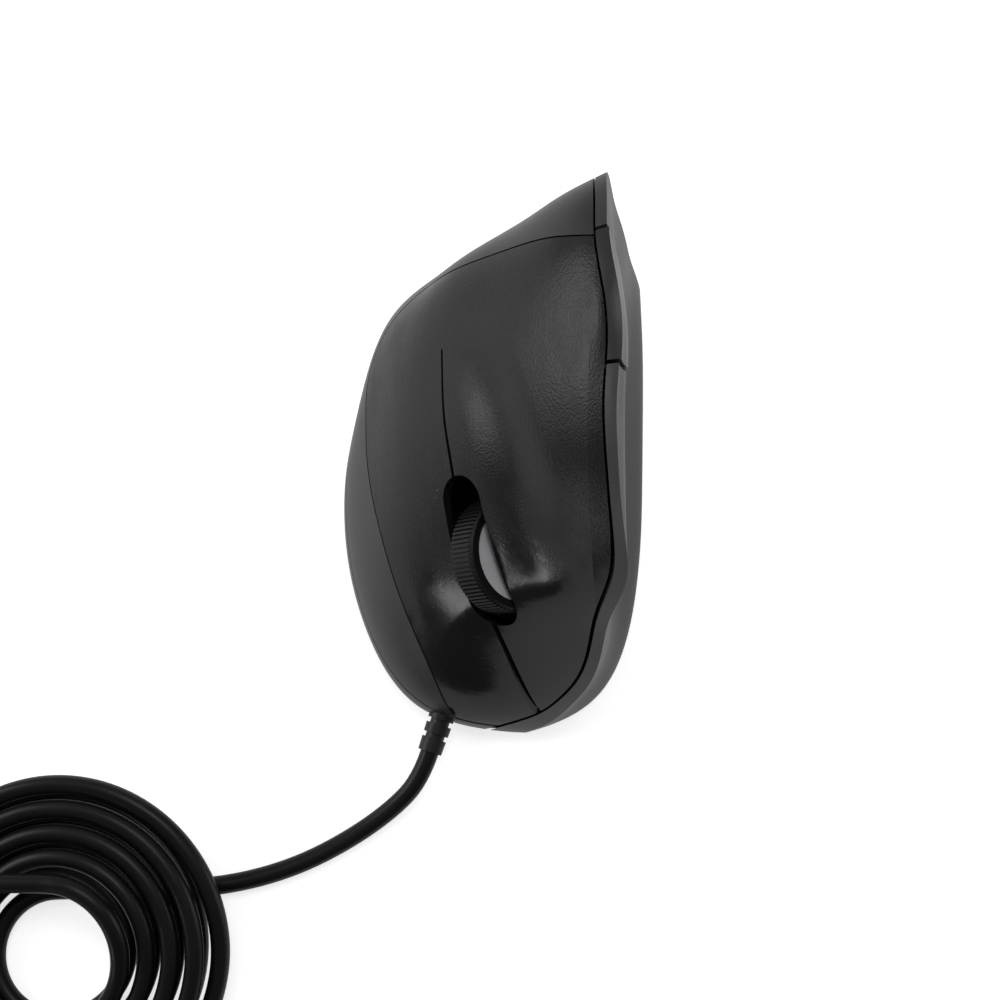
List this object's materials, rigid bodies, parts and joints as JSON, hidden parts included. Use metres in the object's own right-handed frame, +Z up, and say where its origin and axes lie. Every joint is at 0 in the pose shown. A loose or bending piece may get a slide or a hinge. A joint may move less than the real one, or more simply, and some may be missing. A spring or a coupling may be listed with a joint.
{
  "type": "vertical ergonomic mouse",
  "caption": "Upright right-hand computer mouse with a sloping key panel, scroll wheel, thumb buttons and a coiled cable with its plug.",
  "frame": {"origin": "middle of the body's bounding box in plan, on the surface that the glide feet stand on", "axes": "+Y to the rear of the body (the cable leaves towards -Y), +X to the thumb side, +Z up"},
  "size_m": [0.198, 0.2339, 0.0741],
  "materials": {
    "board": "green solder mask",
    "brass": "plated",
    "chip": "moulded package",
    "clear": "clear moulding",
    "cord": "satin sheath",
    "dark_plastic": "moulded, matte",
    "glide": "smooth low-friction",
    "gloss_black": "piano black gloss",
    "ivory": "moulded",
    "lamp": "tinted clear",
    "rubber": "ribbed",
    "satin_black": "satin",
    "silver": "bright",
    "steel": "plated"
  },
  "bodies": {
    "casing": {"base_tray": "satin_black", "palm_shell": "satin_black", "thumb_shell": "satin_black", "button_panel": "gloss_black", "glide_feet": "glide", "case_screws": "steel", "main_board": "board", "board_screws": "steel", "optical_sensor": "chip", "sensor_lens": "clear", "sensor_lamp": "lamp", "cable_header": "ivory", "cable_socket": "ivory", "inner_cable": "cord", "strain_relief": "cord", "cable_lead": "cord", "cable_coil": "cord", "cable_tail": "cord", "plug_overmould": "satin_black", "plug_shell": "steel", "plug_block": "ivory", "plug_contacts": "brass", "key_frame": "dark_plastic", "key_board": "board", "left_switch": "chip", "right_switch": "chip", "wheel_switch": "chip", "encoder_emitter": "clear", "encoder_detector": "chip", "wheel_bracket": "dark_plastic", "cradle_pin": "steel", "side_board": "board", "side_bracket": "dark_plastic", "forward_switch": "chip", "back_switch": "chip", "resolution_switch": "chip"},
    "left_key": {"left_key": "gloss_black"},
    "right_key": {"right_key": "gloss_black"},
    "left_plunger": {"left_plunger": "ivory"},
    "right_plunger": {"right_plunger": "ivory"},
    "wheel_cradle": {"wheel_cradle": "dark_plastic"},
    "wheel": {"wheel_tyre": "rubber", "wheel_hub": "silver", "encoder_disc": "dark_plastic"},
    "wheel_plunger": {"wheel_plunger": "ivory"},
    "resolution_button": {"resolution_button": "gloss_black"},
    "resolution_plunger": {"resolution_plunger": "ivory"},
    "forward_button": {"forward_button": "gloss_black"},
    "forward_plunger": {"forward_plunger": "ivory"},
    "back_button": {"back_button": "gloss_black"},
    "back_plunger": {"back_plunger": "ivory"}
  },
  "joints": [
    {"name": "left_key_press", "type": "hinge", "parent": "casing", "child": "left_key", "pos_m": [-0.02605, 0.024, 0.02185], "axis": [0.6428, 0, 0.766], "range_deg": [0, 0.5], "stiffness_Nm_per_rad": 3, "springref_deg": -0.29},
    {"name": "left_plunger_slide", "type": "slide", "parent": "casing", "child": "left_plunger", "axis": [0.766, 0, -0.6428], "range_m": [0, 0.00045]},
    {"name": "right_key_press", "type": "hinge", "parent": "casing", "child": "right_key", "pos_m": [-0.02605, 0.024, 0.02185], "axis": [0.6428, 0, 0.766], "range_deg": [0, 0.5], "stiffness_Nm_per_rad": 3, "springref_deg": -0.29},
    {"name": "right_plunger_slide", "type": "slide", "parent": "casing", "child": "right_plunger", "axis": [0.766, 0, -0.6428], "range_m": [0, 0.00045]},
    {"name": "wheel_press", "type": "hinge", "parent": "casing", "child": "wheel_cradle", "pos_m": [-0.00919, 0.002, 0.00771], "axis": [0.6428, 0, 0.766], "range_deg": [0, 1], "stiffness_Nm_per_rad": 1.2, "springref_deg": -0.57},
    {"name": "wheel_spin", "type": "hinge", "parent": "wheel_cradle", "child": "wheel", "pos_m": [0.00206, -0.0185, 0.03326], "axis": [0.6428, 0, 0.766], "continuous": true},
    {"name": "wheel_plunger_slide", "type": "slide", "parent": "casing", "child": "wheel_plunger", "axis": [0.766, 0, -0.6428], "range_m": [0, 0.0006]},
    {"name": "resolution_press", "type": "slide", "parent": "casing", "child": "resolution_button", "axis": [-0.2588, 0, -0.9659], "range_m": [0, 0.0004], "stiffness_N_per_m": 2500, "springref_m": -0.0004},
    {"name": "resolution_plunger_slide", "type": "slide", "parent": "casing", "child": "resolution_plunger", "axis": [-0.2588, 0, -0.9659], "range_m": [0, 0.00045]},
    {"name": "forward_press", "type": "slide", "parent": "casing", "child": "forward_button", "axis": [-1, 0, 0], "range_m": [0, 0.0006], "stiffness_N_per_m": 2000, "springref_m": -0.0004},
    {"name": "forward_plunger_slide", "type": "slide", "parent": "casing", "child": "forward_plunger", "axis": [-1, 0, 0], "range_m": [0, 0.00065]},
    {"name": "back_press", "type": "slide", "parent": "casing", "child": "back_button", "axis": [-1, 0, 0], "range_m": [0, 0.0006], "stiffness_N_per_m": 2000, "springref_m": -0.0004},
    {"name": "back_plunger_slide", "type": "slide", "parent": "casing", "child": "back_plunger", "axis": [-1, 0, 0], "range_m": [0, 0.00065]}
  ],
  "couplings": [
    {"joint": "left_plunger_slide", "follows": "left_key_press", "m_per_rad": 0.046},
    {"joint": "right_plunger_slide", "follows": "right_key_press", "m_per_rad": 0.046},
    {"joint": "wheel_plunger_slide", "follows": "wheel_press", "m_per_rad": 0.0316},
    {"joint": "resolution_plunger_slide", "follows": "resolution_press", "ratio": 1},
    {"joint": "forward_plunger_slide", "follows": "forward_press", "ratio": 1},
    {"joint": "back_plunger_slide", "follows": "back_press", "ratio": 1}
  ]
}
